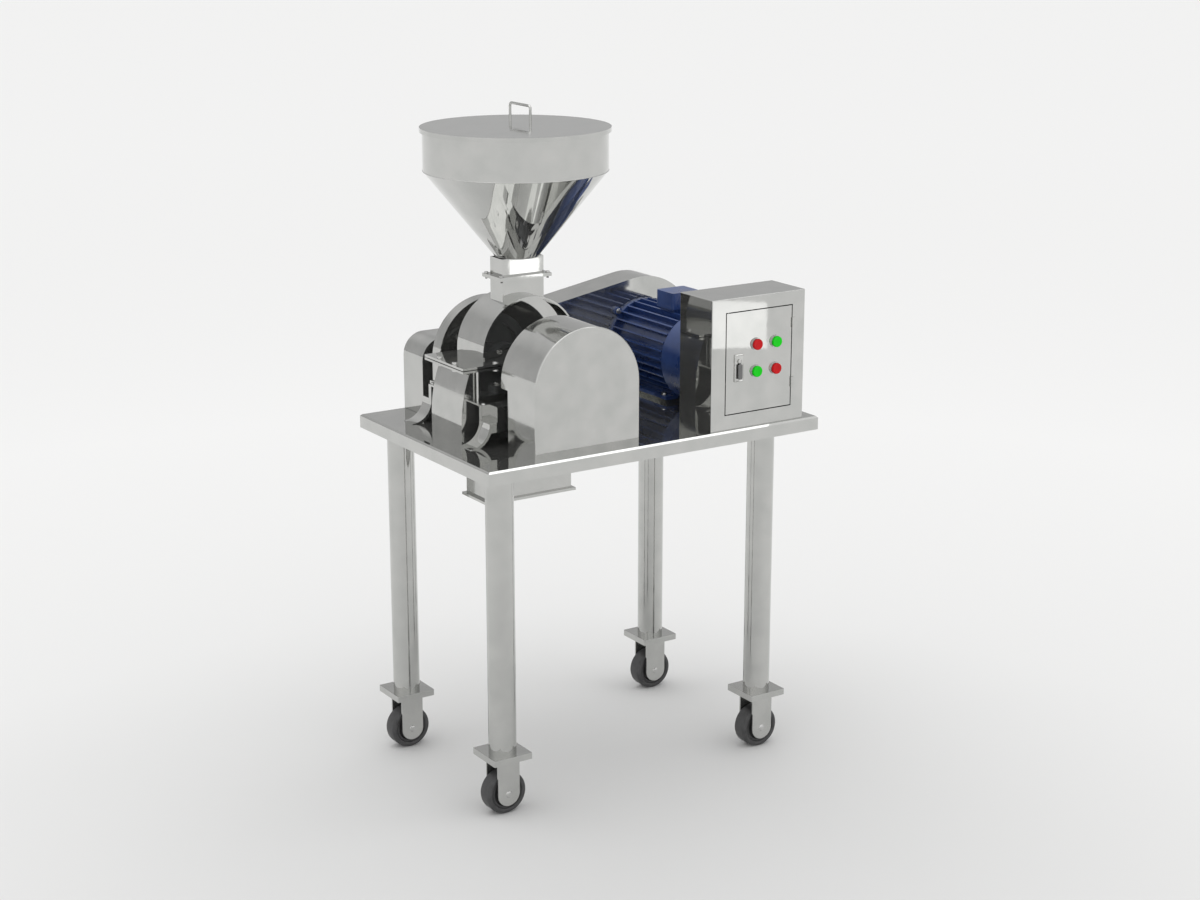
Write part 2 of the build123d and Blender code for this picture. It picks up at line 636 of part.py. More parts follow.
def make_covers():
    wall = COVER_WALL
    cover = arch(COVER_X, COVER_R, COVER_ARC_Z, TABLE_TOP_Z, COVER_FRONT_Y, COVER_BACK_HIGH_Y)
    front_edges = cover.faces().sort_by(Axis.Y)[0].edges().sort_by(Axis.Z)[1:]
    cover = fillet(front_edges, COVER_EDGE_R)
    cover = cover - arch(
        COVER_X, COVER_R - wall, COVER_ARC_Z, TABLE_TOP_Z - 1, COVER_FRONT_Y + wall, COVER_BACK_HIGH_Y + 1)
    cover = cover - block(
        (COVER_X - 200, COVER_X + 200), (COVER_BACK_LOW_Y, COVER_BACK_HIGH_Y + 1),
        (TABLE_TOP_Z - 1, COVER_STEP_Z))
    save("flywheel_cover", cover)

    y0, y1 = ARCH_Y
    crown_z = SHAFT_Z + ARCH_LIFT
    web_y = y0 + ARCH_LIFT
    inside = ARCH_R - wall
    shell = arch(SHAFT_X, ARCH_R, crown_z, STAND_TOP, y0, y1)
    shell = shell - arch(SHAFT_X, inside, crown_z, STAND_TOP - 1, y0 - 1, web_y)
    shell = shell - arch(SHAFT_X, inside, crown_z, STAND_TOP - 1, web_y + wall, y1 + 1)
    opening = arch(SHAFT_X, ARCH_SHAFT_HALF, SHAFT_Z, STAND_TOP - 1, y0 - 1, y1 + 1)
    foot_half = HOUSING_HALF + 2
    feet = block(
        (SHAFT_X - foot_half, SHAFT_X + foot_half), (y0 - 1, y1 + 1), (STAND_TOP - 1, STAND_TOP + 30))
    save("bearing_cover", shell - opening - feet)

    wheel = rod_y(SHAFT_X, SHAFT_Z, FLYWHEEL_R, *FLYWHEEL_Y)
    near_dish = (FLYWHEEL_Y[0] - 1, FLYWHEEL_Y[0] + FLYWHEEL_DISH)
    far_dish = (FLYWHEEL_Y[1] - FLYWHEEL_DISH, FLYWHEEL_Y[1] + 1)
    for y0, y1 in (near_dish, far_dish):
        dish = rod_y(SHAFT_X, SHAFT_Z, FLYWHEEL_R - FLYWHEEL_RIM, y0, y1)
        wheel = wheel - (dish - rod_y(SHAFT_X, SHAFT_Z, FLYWHEEL_HUB_R, y0 - 1, y1 + 1))
    wheel = wheel - rod_y(SHAFT_X, SHAFT_Z, SHAFT_END_R, FLYWHEEL_Y[0] - 1, FLYWHEEL_Y[1] + 1)
    save("flywheel", wheel)


def guard_face(inset):
    """Belt guard outline in (x, z): low over the mill pulley, rising to a round end at the motor."""
    left = GUARD_LEFT + inset
    corner_r = GUARD_CORNER_R - inset
    top = GUARD_LOW_TOP - inset
    corner_z = top - corner_r
    big_r = GUARD_BIG_R - inset
    right = MOTOR_X + big_r
    base = TABLE_TOP_Z
    px = GUARD_RISE_X
    dx = MOTOR_X - px
    dz = MOTOR_Z - top
    distance = math.hypot(dx, dz)
    angle = math.atan2(dz, dx) + math.asin(big_r / distance)
    length = math.sqrt(distance ** 2 - big_r ** 2)
    tangent = (px + length * math.cos(angle), top + length * math.sin(angle))
    diagonal = math.sqrt(0.5)
    lines = [
        Line((left, base), (left, corner_z)),
        ThreePointArc(
            (left, corner_z),
            (left + corner_r * (1 - diagonal), corner_z + corner_r * diagonal),
            (left + corner_r, top)),
        Line((left + corner_r, top), (px, top)),
        Line((px, top), tangent),
        ThreePointArc(
            tangent, (MOTOR_X + big_r * diagonal, MOTOR_Z + big_r * diagonal), (right, MOTOR_Z)),
        Line((right, MOTOR_Z), (right, base)),
        Line((right, base), (left, base)),
    ]
    return make_face(lines)


def make_guard():
    y0, y1 = GUARD_Y
    wall = GUARD_WALL
    shell = prism_y(guard_face(0.0), y0 + wall, y1)
    shell = shell - prism_y(guard_face(wall), y0, y1 - wall)
    shell = shell - block((-500, 500), (y0, y1 - wall), (TABLE_TOP_Z - 5, TABLE_TOP_Z + 0.5))
    save("belt_guard", shell)
    plate = prism_y(guard_face(0.0), y0, y0 + wall)
    plate = plate - rod_y(SHAFT_X, SHAFT_Z, GUARD_MILL_HOLE_R, y0 - 1, y1)
    plate = plate - rod_y(MOTOR_X, MOTOR_Z, GUARD_MOTOR_HOLE_R, y0 - 1, y1)
    for x, z in lug_places():
        plate = plate - rod_y(x, z, M8_HOLE_R, y0 - 1, y1)
    save("belt_guard_plate", plate)


def make_pulley(x, z, radius, bore):
    y0, y1 = PULLEY_Y
    pulley = rod_y(x, z, radius, y0, y1)
    middle = (y0 + y1) / 2
    for offset in (-BELT_PITCH / 2, BELT_PITCH / 2):
        low = middle + offset - GROOVE_WIDTH / 2
        high = middle + offset + GROOVE_WIDTH / 2
        groove = rod_y(x, z, radius + 1, low, high) - rod_y(x, z, radius - GROOVE_DEPTH, low - 1, high + 1)
        pulley = pulley - groove
    return pulley - rod_y(x, z, bore, y0 - 1, y1 + 1)


def belt_loop(y, lift):
    """Solid hull around both pulleys, with its surface lift above the groove bottoms."""
    small = Pos(SHAFT_X, SHAFT_Z) * Circle(MILL_PULLEY_R - GROOVE_DEPTH + lift)
    large = Pos(MOTOR_X, MOTOR_Z) * Circle(MOTOR_PULLEY_R - GROOVE_DEPTH + lift)
    hull = make_hull([*small.edges(), *large.edges()])
    return prism_y(hull, y - BELT_WIDTH / 2, y + BELT_WIDTH / 2)


def make_drive():
    save("mill_pulley", make_pulley(SHAFT_X, SHAFT_Z, MILL_PULLEY_R, SHAFT_END_R))
    save("motor_pulley", make_pulley(MOTOR_X, MOTOR_Z, MOTOR_PULLEY_R, MOTOR_SHAFT_R))
    middle = (PULLEY_Y[0] + PULLEY_Y[1]) / 2
    belts = []
    for offset in (-BELT_PITCH / 2, BELT_PITCH / 2):
        y = middle + offset
        belts.append(belt_loop(y, BELT_LIFT + BELT_THICK) - belt_loop(y, BELT_LIFT))
    save("drive_belts", *belts)


def make_motor():
    x = MOTOR_X
    z = MOTOR_Z
    y0, y1 = FRAME_Y
    frame = rod_y(x, z, BARREL_R, y0, y1)
    for index in range(FIN_COUNT):
        angle = 360 / FIN_COUNT * index
        root = BARREL_R - FIN_GAP
        fin = Pos((root + FIN_R) / 2, 0, 0) * Box(FIN_R - root, y1 - y0 - FIN_GAP, FIN_THICK)
        frame = frame + Pos(x, (y0 + FIN_GAP + y1) / 2, z) * Rot(Y=angle) * fin
    foot_z = TABLE_TOP_Z + BASE_THICK
    for side in (-1, 1):
        inner = x + side * MOTOR_FOOT_INNER
        middle = x + side * (MOTOR_FOOT_INNER + MOTOR_FOOT_WEB)
        outer = x + side * MOTOR_FOOT_HALF
        foot_y = (y0 + 20, y1 - 20)
        frame = frame + block((min(inner, outer), max(inner, outer)), foot_y, (foot_z, foot_z + BASE_THICK))
        frame = frame + block((min(inner, middle), max(inner, middle)), foot_y, (foot_z, z - 62))
    box_y = TERMINAL_BOX_Y
    half = TERMINAL_BOX_HALF
    seat = half - 8
    frame = frame + block(
        (x - seat, x + seat), (box_y[0] + 6, box_y[1] - 6), (z + BARREL_BORE - 10, TERMINAL_BOX_Z[0]))
    frame = frame - rod_y(x, z, BARREL_BORE, y0 - 1, y1 + 1)
    for place in motor_bolt_places():
        frame = frame - rod_z(*place, M8_HOLE_R, foot_z - 1, foot_z + BASE_THICK + 1)
    save("motor_frame", frame)

    shield = rod_y(x, z, SHIELD_R, y1, SHIELD_Y)
    for lug_x, lug_z in lug_places():
        shield = shield + rod_y(lug_x, lug_z, LUG_R, y1, SHIELD_Y)
    for lug_x, lug_z in lug_places():
        shield = shield - rod_y(lug_x, lug_z, M8_HOLE_R, y1 - 1, SHIELD_Y + 1)
    shield = shield - rod_y(x, z, MOTOR_BEARING_R + RUNNING_FIT, y1 - 1, SHIELD_Y + 1)
    back = rod_y(x, z, COWL_R - COWL_WALL, y0 - REAR_SHIELD, y0)
    back = back - rod_y(x, z, MOTOR_BEARING_R + RUNNING_FIT, y0 - REAR_SHIELD - 1, y0 + 1)
    save("motor_shields", shield, back)

    core_gap = 30
    shaft = rod_y(x, z, MOTOR_CORE_R, y0 + core_gap, y1 - core_gap)
    shaft = shaft + rod_y(x, z, MOTOR_BEARING_R, y0 - REAR_SHIELD - 2, SHIELD_Y)
    shaft = shaft + rod_y(x, z, MOTOR_SHAFT_R, FAN_Y[0] - 2, MOTOR_SHAFT_END)
    save("motor_shaft", shaft)

    fan_width = FAN_Y[1] - FAN_Y[0]
    fan = rod_y(x, z, FAN_HUB_R, *FAN_Y)
    root = MOTOR_BEARING_R
    for index in range(FAN_BLADES):
        blade = Pos((root + FAN_R) / 2, 0, 0) * Box(FAN_R - root, fan_width - 4, FAN_BLADE_THICK)
        fan = fan + Pos(x, FAN_Y[0] + fan_width / 2, z) * Rot(Y=360 / FAN_BLADES * index) * blade
    fan = fan - rod_y(x, z, MOTOR_SHAFT_R, FAN_Y[0] - 1, FAN_Y[1] + 1)
    save("motor_fan", fan)

    front = COWL_Y[0]
    cowl = rod_y(x, z, COWL_R, *COWL_Y)
    cowl = fillet(cowl.edges().filter_by(GeomType.CIRCLE).sort_by(Axis.Y)[0], COWL_EDGE_R)
    room = rod_y(x, z, COWL_R - COWL_WALL, front + COWL_WALL, COWL_Y[1] + 1)
    cowl = cowl - fillet(room.edges().filter_by(GeomType.CIRCLE).sort_by(Axis.Y)[0], COWL_EDGE_R - COWL_WALL)
    slot_half = COWL_SLOT_WIDTH / 2
    for ring in COWL_SLOT_R:
        slot = rod_y(x, z, ring + slot_half, front - 1, front + 2 * COWL_WALL)
        slot = slot - rod_y(x, z, ring - slot_half, front - 2, front + 3 * COWL_WALL)
        for spoke in (0, 45, 90, 135):
            slot = slot - Pos(x, front, z) * Rot(Y=spoke) * Box(2 * COWL_R, 6 * COWL_WALL, COWL_BAR)
        cowl = cowl - slot
    save("fan_cowl", cowl)

    wall = TERMINAL_BOX_WALL
    box = block((x - half, x + half), box_y, TERMINAL_BOX_Z)
    box = fillet(box.edges().filter_by(Axis.Z), TERMINAL_BOX_CORNER)
    room = block(
        (x - half + wall, x + half - wall), (box_y[0] + wall, box_y[1] - wall),
        (TERMINAL_BOX_Z[0] + wall, TERMINAL_BOX_Z[1] - wall))
    save("terminal_box", box - room)

    base = block((x - MOTOR_FOOT_HALF, x + MOTOR_FOOT_HALF), (y0 + 18, y1 - 10), (TABLE_TOP_Z, foot_z))
    for place in motor_bolt_places():
        base = base - rod_z(*place, M8_HOLE_R, TABLE_TOP_Z - 1, foot_z + 1)
    save("motor_base", base)


def motor_bolt_places():
    middle = (FRAME_Y[0] + FRAME_Y[1]) / 2
    reach_x, reach_y = MOTOR_FOOT_BOLT
    return [(MOTOR_X + i * reach_x, middle + j * reach_y) for i in (-1, 1) for j in (-1, 1)]


def lug_places():
    """Bolt lugs round the motor's flange, in (x, z)."""
    reach = LUG_CIRCLE_R * math.sqrt(0.5)
    return [(MOTOR_X + i * reach, MOTOR_Z + j * reach) for i in (-1, 1) for j in (-1, 1)]


def motor_bolts():
    """Foot bolts into the base, and flange bolts through the guard's near plate."""
    foot_top = TABLE_TOP_Z + 2 * BASE_THICK
    bolts = [screw_z(*place, M8_R, foot_top, TABLE_TOP_Z + 5, nut=False) for place in motor_bolt_places()]
    radius = M8_R
    head = 5.0
    inside = GUARD_Y[0] + GUARD_WALL
    for x, z in lug_places():
        bolt = rod_y(x, z, radius, FRAME_Y[1] - 1, inside + head + 2)
        for y in (FRAME_Y[1], inside + head):
            bolt = bolt + Pos(x, y, z) * Rot(X=90) * extrude(RegularPolygon(HEX_RATIO * radius, 6), head)
        bolts.append(bolt)
    return bolts


def make_control_box():
    wall = BOX_WALL
    shell = block(BOX_X, BOX_Y, BOX_Z)
    shell = fillet(shell.edges().sort_by(Axis.Z)[4:], BOX_EDGE_R)
    inside = [(span[0] + wall, span[1] - wall) for span in (BOX_X, BOX_Y, BOX_Z)]
    shell = shell - block(*inside)
    shell = shell - block(
        (DOOR_X[0] - DOOR_GAP, DOOR_X[1] + DOOR_GAP), (BOX_Y[0] - 1, BOX_Y[0] + 10),
        (DOOR_Z[0] - DOOR_GAP, DOOR_Z[1] + DOOR_GAP))
    gland_hole = Pos(BOX_X[1], GLAND_Y, GLAND_Z) * Rot(Y=90) * Cylinder(GLAND_R, 4 * wall)
    shell = shell - gland_hole
    save("control_box", shell)

    front = BOX_Y[0]
    back = front + DOOR_THICK
    rim_back = back + DOOR_RIM_DEPTH
    door = block(DOOR_X, (front, back), DOOR_Z)
    edge = DOOR_RIM_INSET
    rim = block((DOOR_X[0] + edge, DOOR_X[1] - edge), (back, rim_back), (DOOR_Z[0] + edge, DOOR_Z[1] - edge))
    edge = DOOR_RIM_INSET + DOOR_THICK
    rim = rim - block(
        (DOOR_X[0] + edge, DOOR_X[1] - edge), (front, rim_back + 1), (DOOR_Z[0] + edge, DOOR_Z[1] - edge))
    rim = rim - block((DOOR_X[0], LATCH_X), (back, rim_back + 1), (LATCH_Z - 38, LATCH_Z + 38))
    door = door + rim
    bezels = []
    index = 0
    hole_r = BUTTON_R + BUTTON_FIT
    for z in BUTTON_Z:
        for x in BUTTON_X:
            index = index + 1
            hole = rod_y(x, z, hole_r, front - 20, front + 20)
            door = door - hole
            bezels.append(rod_y(x, z, BEZEL_R, front - BEZEL_OUT, front) - hole)
            bezels.append(rod_y(x, z, BEZEL_R + BUTTON_FIT, back, back + 5) - hole)
            cap = rod_y(x, z, BUTTON_R, front - BUTTON_OUT, front + BUTTON_OUT)
            cap = fillet(cap.edges().filter_by(GeomType.CIRCLE).sort_by(Axis.Y)[0], BUTTON_EDGE_R)
            save("push_button_%d" % index, cap)
    pin_hole = rod_y(LATCH_X, LATCH_Z, LATCH_PIN_R + 0.3, front - 20, front + 20)
    save("control_door", door - pin_hole)
    save("button_bezels", *bezels)

    plate_z = (LATCH_Z + LATCH_REACH[0], LATCH_Z + LATCH_REACH[1])
    plate = block((LATCH_X - LATCH_HALF, LATCH_X + LATCH_HALF), (front - LATCH_PLATE, front), plate_z)
    plate = fillet(plate.edges().filter_by(Axis.Y), 2)
    save("latch_plate", plate - pin_hole)
    lever = rod_y(LATCH_X, LATCH_Z, LATCH_PIN_R, front - 6, front + 6)
    lever = lever + block(
        (LATCH_X - LATCH_BAR_HALF, LATCH_X + LATCH_BAR_HALF), (front - 6, front - LATCH_PLATE - 0.3),
        (LATCH_Z - LATCH_BAR_DROP, LATCH_Z))
    lever = lever + block(
        (LATCH_X - LATCH_CAM, LATCH_X + 4), (front + 3.5, front + 6), (LATCH_Z - 6, LATCH_Z + 6))
    save("latch_lever", lever)

    hinges = []
    axis_x = DOOR_X[1] + DOOR_GAP
    for z in HINGE_Z:
        span = (z - HINGE_HALF, z + HINGE_HALF)
        pin = rod_z(axis_x, front - HINGE_PIN_R, HINGE_PIN_R, *span)
        hinges.append(pin + block((axis_x, DOOR_X[1] + 10), (front - 1.2, front), span))
    save("door_hinges", *hinges)


def make_hopper():
    x = SHAFT_X
    y = MILL_Y
    wall = HOPPER_WALL
    cone_top = HOPPER_TOP - HOPPER_STRAIGHT
    cone_height = cone_top - NECK_TOP
    place = Pos(x, y, NECK_TOP + cone_height / 2)
    bowl = rod_z(x, y, HOPPER_R, cone_top, HOPPER_TOP) + place * Cone(HOPPER_OUTLET_R, HOPPER_R, cone_height)
    neck_x = (x - NECK_X / 2, x + NECK_X / 2)
    neck_y = (y - NECK_Y / 2, y + NECK_Y / 2)
    lip = NECK_OVERHANG
    throat = block(
        (neck_x[0] + wall, neck_x[1] - wall), (neck_y[0] + wall, neck_y[1] - wall),
        (NECK_SPLIT - 1, NECK_TOP + wall + 1))
    bowl = bowl - rod_z(x, y, HOPPER_R - wall, cone_top, HOPPER_TOP + 1)
    bowl = bowl - place * Cone(HOPPER_OUTLET_R - wall, HOPPER_R - wall, cone_height)
    bowl = bowl + rod_z(x, y, HOPPER_OUTLET_R, NECK_TOP, NECK_TOP + wall)
    bowl = bowl - throat
    save("hopper", bowl)
    neck = block(neck_x, neck_y, (NECK_SPLIT, NECK_TOP))
    neck = neck + block(
        (neck_x[0] - lip, neck_x[1] + lip), (neck_y[0] - lip, neck_y[1] + lip), (NECK_SPLIT, NECK_SPLIT + 4))
    neck = neck - throat - neck_bolt_holes(NECK_SPLIT - 1, NECK_SPLIT + 5)
    save("hopper_neck", neck)

    skin = LID_THICK
    lid = rod_z(x, y, LID_R, HOPPER_TOP - skin, LID_TOP)
    lid = lid - rod_z(x, y, LID_R - skin, HOPPER_TOP - 2 * skin, LID_TOP - skin)
    seat = rod_z(x, y, HOPPER_R + 1, HOPPER_TOP, LID_TOP - skin)
    lid = lid + (seat - rod_z(x, y, HOPPER_R - 3 * skin, HOPPER_TOP - 1, LID_TOP - skin))
    save("hopper_lid", lid)
    top_z = LID_TOP + HANDLE_RISE - HANDLE_R
    path = FilletPolyline(
        (HANDLE_X, HANDLE_Y - HANDLE_HALF, LID_TOP),
        (HANDLE_X, HANDLE_Y - HANDLE_HALF, top_z),
        (HANDLE_X, HANDLE_Y + HANDLE_HALF, top_z),
        (HANDLE_X, HANDLE_Y + HANDLE_HALF, LID_TOP),
        radius=HANDLE_CORNER_R,
    )
    section = Plane(origin=path @ 0, z_dir=path % 0) * Circle(HANDLE_R)
    save("lid_handle", sweep(section, path))


def write_parts():
    os.makedirs("parts", exist_ok=True)
    for name, solids in PARTS.items():
        flat = []
        for solid in solids:
            flat.extend(solid.solids())
        shape = flat[0] if len(flat) == 1 else Compound(children=flat)
        export_step(shape, "parts/%s.step" % name)
    print(len(PARTS), "parts")


make_table()
for x_tag, leg_x in zip(("left", "right"), LEG_X):
    for y_tag, leg_y in zip(("front", "rear"), LEG_Y):
        make_leg(y_tag + "_" + x_tag, leg_x, leg_y)
        make_caster(y_tag + "_" + x_tag, leg_x, leg_y)
make_caster_fasteners()
make_chute()
make_lower_casing()
make_screen()
make_upper_casing()
make_casing_bolts()
make_rotor()
make_bearings()
make_covers()
make_guard()
make_drive()
make_motor()
make_control_box()
make_hopper()
write_parts()
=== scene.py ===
import json
import math

import bmesh
import bpy
from mathutils import Matrix, Vector


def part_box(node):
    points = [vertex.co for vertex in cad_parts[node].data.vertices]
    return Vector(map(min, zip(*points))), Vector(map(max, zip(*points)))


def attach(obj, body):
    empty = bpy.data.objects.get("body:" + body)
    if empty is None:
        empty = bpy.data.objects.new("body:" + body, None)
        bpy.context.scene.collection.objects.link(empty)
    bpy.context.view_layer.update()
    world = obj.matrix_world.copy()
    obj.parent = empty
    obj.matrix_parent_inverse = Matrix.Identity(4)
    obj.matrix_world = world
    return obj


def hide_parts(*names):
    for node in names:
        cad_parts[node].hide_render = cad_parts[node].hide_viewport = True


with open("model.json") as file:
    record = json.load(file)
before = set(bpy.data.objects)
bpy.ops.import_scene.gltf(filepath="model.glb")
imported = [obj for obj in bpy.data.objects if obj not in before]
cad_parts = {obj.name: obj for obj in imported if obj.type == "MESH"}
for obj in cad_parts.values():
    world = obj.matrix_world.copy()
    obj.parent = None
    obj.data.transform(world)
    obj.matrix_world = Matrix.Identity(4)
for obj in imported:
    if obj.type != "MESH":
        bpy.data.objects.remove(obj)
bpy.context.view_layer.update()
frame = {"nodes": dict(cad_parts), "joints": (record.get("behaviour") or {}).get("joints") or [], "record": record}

# Hammer mill on a wheeled stainless table. Metres, +Z up, in the CAD frame.
NODES = frame["nodes"]
JOINTS = {joint["name"]: joint for joint in frame["joints"]}
SLOT_OF = {part["node"]: part["material_slot"] for part in frame["record"]["subparts"]}
MM = 0.001


# ---------------------------------------------------------------- node helpers
def new_material(name):
    """A node material, with its tree and its surface shader."""
    material = bpy.data.materials.new(name)
    material.use_nodes = True
    tree = material.node_tree
    return material, tree, tree.nodes["Principled BSDF"]


def noise(tree, scale, detail=2.0, stretch=(1, 1, 1)):
    """Noise over the object's own coordinates, finer for a larger scale."""
    place = tree.nodes.new("ShaderNodeTexCoord")
    mapping = tree.nodes.new("ShaderNodeMapping")
    mapping.inputs["Scale"].default_value = stretch
    texture = tree.nodes.new("ShaderNodeTexNoise")
    texture.inputs["Scale"].default_value = scale
    texture.inputs["Detail"].default_value = detail
    tree.links.new(place.outputs["Object"], mapping.inputs["Vector"])
    tree.links.new(mapping.outputs["Vector"], texture.inputs["Vector"])
    return texture.outputs["Fac"]


def spread(tree, value, low, high, start=0.3, end=0.7):
    """Map a 0..1 value from start..end to low..high."""
    node = tree.nodes.new("ShaderNodeMapRange")
    node.inputs["From Min"].default_value = start
    node.inputs["From Max"].default_value = end
    node.inputs["To Min"].default_value = low
    node.inputs["To Max"].default_value = high
    tree.links.new(value, node.inputs["Value"])
    return node.outputs["Result"]


def two_colours(tree, value, first, second):
    """Mix from the first colour at 0 to the second at 1."""
    node = tree.nodes.new("ShaderNodeMix")
    node.data_type = "RGBA"
    node.inputs["A"].default_value = (*first, 1)
    node.inputs["B"].default_value = (*second, 1)
    tree.links.new(value, node.inputs["Factor"])
    return node.outputs["Result"]


def bump(tree, heights):
    """Chain bumps, each (height output, depth in metres, strength)."""
    last = None
    for height, depth, strength in heights:
        node = tree.nodes.new("ShaderNodeBump")
        node.inputs["Distance"].default_value = depth
        node.inputs["Strength"].default_value = strength
        tree.links.new(height, node.inputs["Height"])
        if last is not None:
            tree.links.new(last, node.inputs["Normal"])
        last = node.outputs["Normal"]
    return last


def finish_surface(tree, shader, colours, roughness, heights):
    """colours is (value, dark, light); roughness is (value, low, high)."""
    value, dark, light = colours
    tree.links.new(two_colours(tree, spread(tree, value, 0, 1), dark, light), shader.inputs["Base Color"])
    value, low, high = roughness
    tree.links.new(spread(tree, value, low, high), shader.inputs["Roughness"])
    tree.links.new(bump(tree, heights), shader.inputs["Normal"])


# ------------------------------------------------------------------- materials
def polished_steel(name, dark, light, rough, grain_stretch=(1, 1, 1)):
    """Mirror-polished sheet: faint sheet waviness, buffing grain and handling marks."""
    material, tree, shader = new_material(name)
    shader.inputs["Metallic"].default_value = 0.93
    waviness = noise(tree, 4.5, 1.0)
    grain = noise(tree, 160, 2.0, grain_stretch)
    blotches = noise(tree, 22, 3.0)
    finish_surface(
        tree, shader, (blotches, dark, light), (blotches, rough * 0.6, rough * 1.4),
        [(waviness, 0.0035, 0.13), (grain, 0.00003, 0.15)])
    return material


def turned_steel(name, dark, light, rough):
    """Machined steel: soft tool rings over a fine grain."""
    material, tree, shader = new_material(name)
    shader.inputs["Metallic"].default_value = 1.0
    rings = noise(tree, 60, 2.0, (1, 14, 1))
    fine = noise(tree, 500, 2.0)
    finish_surface(
        tree, shader, (rings, dark, light), (fine, rough * 0.7, rough * 1.3),
        [(rings, 0.0001, 0.4), (fine, 0.00004, 0.3)])
    return material


def cast_iron(name, dark, light):
    """Painted casting: lumpy skin with sand grain."""
    material, tree, shader = new_material(name)
    shader.inputs["Metallic"].default_value = 0.3
    sand = noise(tree, 420, 3.0)
    lumps = noise(tree, 45, 3.0)
    finish_surface(
        tree, shader, (lumps, dark, light), (lumps, 0.38, 0.6),
        [(lumps, 0.0006, 0.3), (sand, 0.00025, 0.5)])
    return material


def enamel(name, dark, light):
    """Gloss paint over a casting: orange peel, with duller dusty patches."""
    material, tree, shader = new_material(name)
    shader.inputs["Coat Weight"].default_value = 0.35
    shader.inputs["Coat Roughness"].default_value = 0.12
    peel = noise(tree, 260, 2.0)
    casting = noise(tree, 60, 2.0)
    patches = noise(tree, 18, 3.0)
    finish_surface(
        tree, shader, (patches, dark, light), (patches, 0.22, 0.42),
        [(casting, 0.0005, 0.25), (peel, 0.00012, 0.35)])
    return material


def plastic(name, dark, light, rough):
    """Moulded plastic: satin, with a fine grain."""
    material, tree, shader = new_material(name)
    shader.inputs["Specular IOR Level"].default_value = 0.25
    fine = noise(tree, 700, 2.0)
    patches = noise(tree, 60, 2.0)
    finish_surface(
        tree, shader, (patches, dark, light), (patches, rough * 0.8, rough * 1.2),
        [(fine, 0.00004, 0.3), (patches, 0.0002, 0.1)])
    return material


def rubber(name, dark, light):
    """Rubber: matt grain with paler scuffs."""
    material, tree, shader = new_material(name)
    scuffs = noise(tree, 70, 4.0)
    grain = noise(tree, 900, 2.0)
    finish_surface(
        tree, shader, (scuffs, dark, light), (scuffs, 0.34, 0.58),
        [(scuffs, 0.0002, 0.25), (grain, 0.00006, 0.5)])
    return material


MATERIALS = {
    "stainless": polished_steel(
        "polished_stainless", (0.50, 0.505, 0.49), (0.56, 0.56, 0.545), 0.085),
    "fastener_steel": polished_steel(
        "fastener_steel", (0.48, 0.48, 0.47), (0.6, 0.6, 0.59), 0.16),
    "machined_steel": turned_steel("machined_steel", (0.36, 0.36, 0.37), (0.52, 0.52, 0.53), 0.28),
    "bearing_steel": turned_steel("bearing_steel", (0.5, 0.5, 0.52), (0.62, 0.62, 0.64), 0.2),
    "cast_iron": cast_iron("painted_casting", (0.055, 0.06, 0.065), (0.11, 0.115, 0.12)),
    "motor_blue": enamel("motor_enamel", (0.015, 0.038, 0.145), (0.03, 0.07, 0.23)),
    "fan_plastic": plastic("fan_plastic", (0.02, 0.02, 0.022), (0.035, 0.035, 0.04), 0.45),
    "rubber": rubber("belt_rubber", (0.012, 0.012, 0.012), (0.03, 0.03, 0.03)),
    "tyre": rubber("wheel_rubber", (0.035, 0.035, 0.036), (0.065, 0.065, 0.066)),
    "button_red": plastic("red_button", (0.5, 0.0, 0.003), (0.6, 0.001, 0.004), 0.4),
    "button_green": plastic("green_button", (0.0, 0.58, 0.003), (0.001, 0.68, 0.006), 0.4),
}
LEG_GRAIN = (1, 1, 0.06)
TUBE_STEEL = polished_steel(
    "tube_stainless", (0.50, 0.505, 0.49), (0.56, 0.56, 0.545), 0.10, LEG_GRAIN)
MIRROR_STEEL = polished_steel(
    "mirror_stainless", (0.52, 0.525, 0.51), (0.57, 0.57, 0.555), 0.025)
MIRROR_NODES = (
    "control_box", "control_door", "table_top", "hopper", "hopper_neck", "upper_casing",
    "bearing_stands")
DARK_STEEL = polished_steel("latch_dark_steel", (0.15, 0.15, 0.15), (0.2, 0.2, 0.2), 0.3)
LEGS = [name for name in NODES if name.startswith("leg_")]
for node_name, node in NODES.items():
    finish = MATERIALS[SLOT_OF[node_name]]
    if node_name in LEGS:
        finish = TUBE_STEEL
    elif node_name in MIRROR_NODES:
        finish = MIRROR_STEEL
    for material_slot in node.material_slots:
        material_slot.material = finish


# ---------------------------------------------------------------- mesh helpers
# Innermost radius of a lathed profile that ends at its axis.
NEAR_AXIS = 0.2 * MM


def piece(name, mesh, slot_name, body):
    """Link a finished mesh as a piece of that body, in that slot's material."""
    obj = bpy.data.objects.new(name, mesh)
    bpy.context.scene.collection.objects.link(obj)
    mesh.materials.append(MATERIALS[slot_name])
    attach(obj, body)
    return obj


def smooth(mesh, angle):
    """Smooth shading, except across edges sharper than the angle in degrees."""
    for polygon in mesh.polygons:
        polygon.use_smooth = True
    mesh.set_sharp_from_angle(angle=math.radians(angle))


def mesh_from(name, bm, angle=35):
    """Finish a bmesh as a mesh whose faces all point outwards."""
    bmesh.ops.recalc_face_normals(bm, faces=bm.faces[:])
    mesh = bpy.data.meshes.new(name)
    bm.to_mesh(mesh)
    bm.free()
    smooth(mesh, angle)
    return mesh


def lathe(bm, profile, matrix, steps):
    """Closed ring solid: profile points are (radius, height) round the local Z axis."""
    rings = []
    for step in range(steps):
        turn = 2 * math.pi * step / steps
        rings.append([
            bm.verts.new(matrix @ Vector((r * math.cos(turn), r * math.sin(turn), h))) for r, h in profile])
    for step in range(steps):
        here, after = rings[step], rings[(step + 1) % steps]
        for index in range(len(profile)):
            other = (index + 1) % len(profile)
            bm.faces.new((here[index], after[index], after[other], here[other]))


